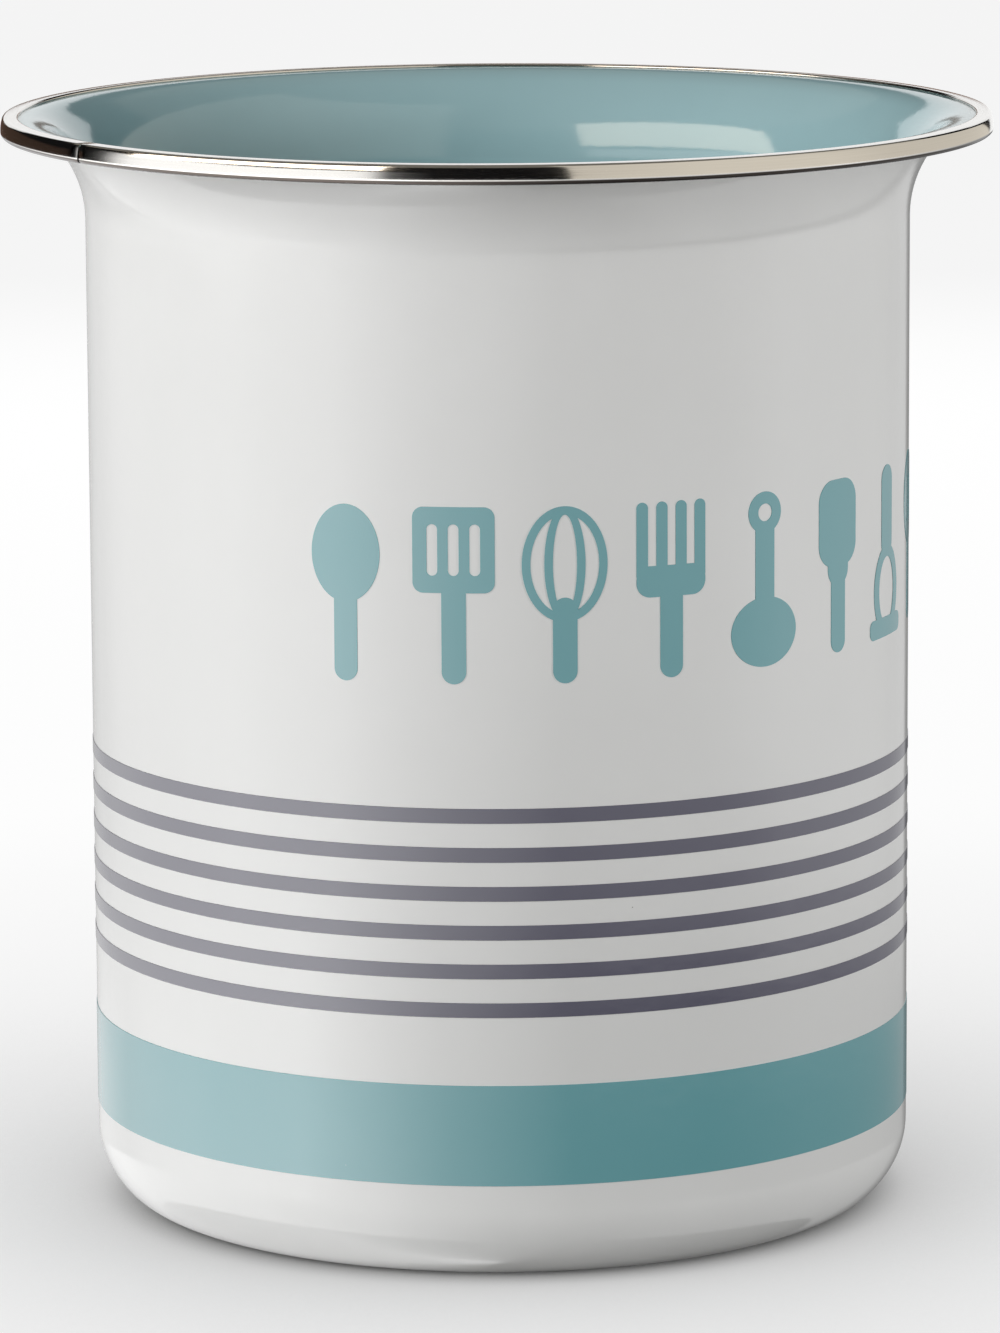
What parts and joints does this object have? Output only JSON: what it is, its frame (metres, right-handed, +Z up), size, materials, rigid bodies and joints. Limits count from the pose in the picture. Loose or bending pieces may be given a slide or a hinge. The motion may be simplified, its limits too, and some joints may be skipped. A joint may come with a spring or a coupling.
{
  "type": "utensil crock",
  "caption": "Tall round enamelled steel pot with a flared lip, a stainless rim band and a striped print, open at the top to hold kitchen utensils.",
  "frame": {"origin": "middle of the base, on the surface that the crock stands on", "axes": "+Z up along the pot's axis, -Y towards the row of printed kitchen tools, +X to the right seen from there"},
  "size_m": [0.1502, 0.1502, 0.167],
  "materials": {
    "drawn_steel": "deep-drawn low-carbon steel, covered by enamel",
    "ground_enamel": "dark first coat of enamel, covered by the colour coat",
    "white_enamel": "gloss white vitreous enamel",
    "blue_enamel": "gloss duck-egg blue vitreous enamel",
    "polished_stainless": "polished stainless steel",
    "aqua_print": "fired-on gloss aqua print",
    "navy_print": "fired-on gloss navy print"
  },
  "bodies": {
    "root": {"steel_body": "drawn_steel", "outer_ground_coat": "ground_enamel", "inner_ground_coat": "ground_enamel", "outer_white_coat": "white_enamel", "inner_blue_coat": "blue_enamel", "rim_band": "polished_stainless", "aqua_band": "aqua_print", "navy_stripe_1": "navy_print", "navy_stripe_2": "navy_print", "navy_stripe_3": "navy_print", "navy_stripe_4": "navy_print", "navy_stripe_5": "navy_print", "navy_stripe_6": "navy_print", "print_spoon": "aqua_print", "print_turner": "aqua_print", "print_whisk": "aqua_print", "print_fork": "aqua_print", "print_ladle": "aqua_print", "print_scraper": "aqua_print", "print_masher": "aqua_print", "print_slotted_spoon": "aqua_print"}
  },
  "joints": []
}
